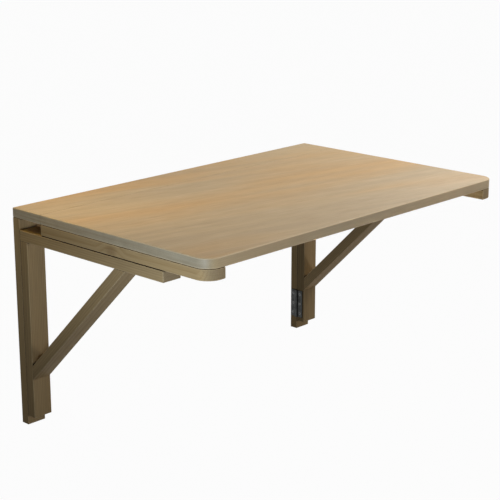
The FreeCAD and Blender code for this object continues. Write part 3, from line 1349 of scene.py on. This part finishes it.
@dataclass
class Ironmongery:
    """All hinges and screws of the desk."""

    batten_screw: ScrewTree = field(default_factory=lambda: ScrewTree(4.0 * MM, 2.0 * MM, 31 * MM))
    batten_screw_shares: tuple[float, ...] = (0.1, 0.5, 0.88)
    # Both steels are drawn much darker than bare steel and zinc: painted shade for the hinges and screws
    # under the top.
    plate_steel: SteelFinish = SteelFinish(
        "dark_rolled_steel",
        base=(0.052, 0.054, 0.052, 1.0),
        dull=(0.026, 0.027, 0.026, 1.0),
        roughness=0.42,
        line_cells=(900.0, 900.0, 60.0),
    )
    screw_zinc: SteelFinish = SteelFinish(
        "zinc_plated_steel",
        base=(0.16, 0.16, 0.157, 1.0),
        dull=(0.09, 0.09, 0.088, 1.0),
        roughness=0.34,
        line_cells=(500.0, 500.0, 500.0),
    )

    def hinge(self, name: str, joint: str, along: Vector, out: Vector) -> ButtHinge:
        """Place a hinge on a joint's axis, where its pin is.

        Args:
            name: Name of the hinge.
            joint: Joint that it turns about.
            along: Direction of the pin.
            out: Direction away from the wood.

        Returns:
            The hinge, not built yet.
        """
        low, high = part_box(f"{name}_pin")
        axis = joint_point(joint)
        middle = (low + high) / 2
        axis += along * (middle - axis).dot(along)
        return ButtHinge(name, axis, along, out, (high - low).dot(along))

    def desk_hinges(self) -> list[ButtHinge]:
        """Hinges under the seam between shelf and leaf."""
        return [self.hinge(f"desk_hinge_{side.word}", "leaf_lift", X, -Z) for side in Side]

    def bracket_hinges(self, side: Side) -> list[ButtHinge]:
        """Place the hinges between a post and its bracket.

        Args:
            side: Side of the desk.

        Returns:
            The upper and the lower hinge.
        """
        joint = f"bracket_{side.word}_swing"
        names = [f"bracket_hinge_{side.word}_{level}" for level in ("upper", "lower")]
        return [self.hinge(name, joint, Z, -X * side.value) for name in names]

    def batten_spots(self, side: Side) -> list[Spot]:
        """Find the screw heads under one batten.

        Args:
            side: Side of the desk.

        Returns:
            Middle of each head and the way that it faces.
        """
        low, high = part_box(f"batten_{side.word}")
        x = (low.x + high.x) / 2
        run = low.y - high.y
        return [(Vector((x, high.y + share * run, low.z)), -Z) for share in self.batten_screw_shares]

    def build(self) -> None:
        """Build every hinge and every group of screws."""
        steel = self.plate_steel.material()
        zinc = self.screw_zinc.material()
        desk = self.desk_hinges()
        groups = {
            "desk_hinge_shelf_screws": screw_heads(desk, Half.FIXED),
            "desk_hinge_leaf_screws": screw_heads(desk, Half.MOVING),
        }
        hinges = list(desk)
        for side in Side:
            pair = self.bracket_hinges(side)
            hinges += pair
            groups[f"bracket_hinge_post_screws_{side.word}"] = screw_heads(pair, Half.FIXED)
            groups[f"bracket_hinge_stile_screws_{side.word}"] = screw_heads(pair, Half.MOVING)
        for hinge in hinges:
            hinge.build(steel)
        for seed, (node, spots) in enumerate(groups.items()):
            desk[0].screw.place(f"{node}_set", spots, zinc, seed, node)
        for seed, side in enumerate(Side, start=len(groups)):
            node = f"batten_screws_{side.word}"
            self.batten_screw.place(f"{node}_set", self.batten_spots(side), zinc, seed, node)


@dataclass(frozen=True)
class Lamp:
    """A soft round lamp: its name, place, aim, size, power, colour and the angle that it spreads over."""

    name: str
    place: Triple
    aim: Triple
    size: float
    power: float
    colour: Triple = (1.0, 1.0, 1.0)
    spread: float = 180.0

    def build(self) -> None:
        """Hang the lamp, out of the camera's sight."""
        lamp = bpy.data.lights.new(self.name, "AREA")
        lamp.shape = "DISK"
        lamp.size = self.size
        lamp.energy = self.power
        lamp.color = self.colour
        lamp.spread = math.radians(self.spread)
        holder = put_in_scene(self.name, lamp)
        holder.location = self.place
        way = Vector(self.aim) - Vector(self.place)
        holder.rotation_euler = way.to_track_quat("-Z", "Y").to_euler()
        holder.visible_camera = False


@dataclass
class Studio:
    """Pale floor, soft light and the camera at the photograph's angle."""

    top_height: float = 0.75
    floor_size: float = 60.0
    floor_colour: Colour = (0.14, 0.13, 0.12, 1.0)
    floor_white_share: float = 0.97
    ambient: Colour = (0.95, 0.99, 1.04, 1.0)
    ambient_strength: float = 0.09
    lamps: tuple[Lamp, ...] = (
        Lamp("softbox", (0.95, -1.1, 1.7), (0.1, -0.25, 0.0), 1.4, 19.5),
        Lamp("side_light", (1.5, 0.0, 1.1), (0.1, -0.25, 0.0), 0.8, 16.5),
        Lamp("rear_light", (-0.46, -0.03, 0.4), (-0.3, -0.12, 0.0), 0.3, 0.19, (1.0, 0.75, 0.25), 80.0),
        Lamp("front_fill", (2.6, -3.3, 0.0), (0.0, -0.4, 0.0), 0.6, 32.0, (0.98, 0.99, 1.08)),
        Lamp("left_fill", (-0.85, -0.7, -0.04), (-0.4, -0.38, 0.0), 0.2, 0.71, (0.8, 0.94, 1.14), 92.0),
        Lamp("wall_side_fill", (0.2, 3.0, 0.0), (0.0, 0.0, -0.1), 0.8, 15.0),
        Lamp("low_fill", (-0.9, -0.62, -0.02), (0.36, -0.47, 0.006), 0.08, 0.013, (1.0, 0.97, 0.9), 8.0),
    )
    camera_place: Triple = (-1.880258, -1.987306, 0.653323)
    camera_turn: Triple = (74.094, 0.0, -46.66)
    lens: float = 100.28

    def seen_white(self, sketch: NodeSketch) -> Socket:
        """Tell which rays show the background.

        Args:
            sketch: Nodes of the floor or the world.

        Returns:
            One for rays that show it straight, in a reflection or through something clear.
        """
        path = sketch.add("ShaderNodeLightPath").outputs
        indirect = sketch.math("MAXIMUM", path["Is Glossy Ray"], path["Is Transmission Ray"])
        return sketch.math("MAXIMUM", path["Is Camera Ray"], indirect)

    def floor(self) -> None:
        """Plain floor at the height that the desk hangs above it, white to the camera."""
        level = cad_box[1].z - self.top_height
        half = self.floor_size / 2
        sketch = bmesh.new()
        corners = ((-half, -half), (half, -half), (half, half), (-half, half))
        sketch.faces.new([sketch.verts.new((x, y, level)) for x, y in corners])
        floor = link_mesh("floor", sketch)
        material, nodes = new_material("pale_floor")
        matt = nodes.add("ShaderNodeBsdfDiffuse", {"Color": self.floor_colour})
        white = nodes.add("ShaderNodeEmission", {"Color": WHITE, "Strength": 1.0})
        share = nodes.math("MULTIPLY", self.seen_white(nodes), self.floor_white_share)
        mixed = nodes.add("ShaderNodeMixShader", {0: share, 1: matt.outputs[0], 2: white.outputs[0]})
        nodes.add("ShaderNodeOutputMaterial", {"Surface": mixed.outputs[0]})
        floor.data.materials.append(material)

    def world(self) -> None:
        """Even light from all around, white where the camera sees it."""
        world = bpy.data.worlds.new("studio")
        world.use_nodes = True
        nodes = NodeSketch(world.node_tree)
        light = nodes.add("ShaderNodeBackground", {"Color": self.ambient, "Strength": self.ambient_strength})
        white = nodes.add("ShaderNodeBackground", {"Color": WHITE, "Strength": 1.0})
        mixed = nodes.add(
            "ShaderNodeMixShader", {0: self.seen_white(nodes), 1: light.outputs[0], 2: white.outputs[0]}
        )
        nodes.add("ShaderNodeOutputWorld", {"Surface": mixed.outputs[0]})
        bpy.context.scene.world = world

    def camera(self) -> None:
        """Camera worked out from the straight edges of the desk in the photograph."""
        camera = bpy.data.cameras.new("camera")
        camera.lens = self.lens
        holder = put_in_scene("camera", camera)
        holder.location = self.camera_place
        holder.rotation_euler = [math.radians(angle) for angle in self.camera_turn]
        bpy.context.scene.camera = holder

    def build(self) -> None:
        """Build the whole studio."""
        bpy.context.scene.view_settings.view_transform = "Standard"
        self.floor()
        self.world()
        for lamp in self.lamps:
            lamp.build()
        self.camera()


def main() -> None:
    """Build the desk and the studio."""
    logging.basicConfig(level=logging.INFO, format="%(name)s: %(message)s")
    joinery = Joinery()
    WallFrame(joinery).build()
    Leaf(joinery).build()
    for side in Side:
        Bracket(joinery, side).build()
    Ironmongery().build()
    Studio().build()


if __name__ == "__main__":
    main()
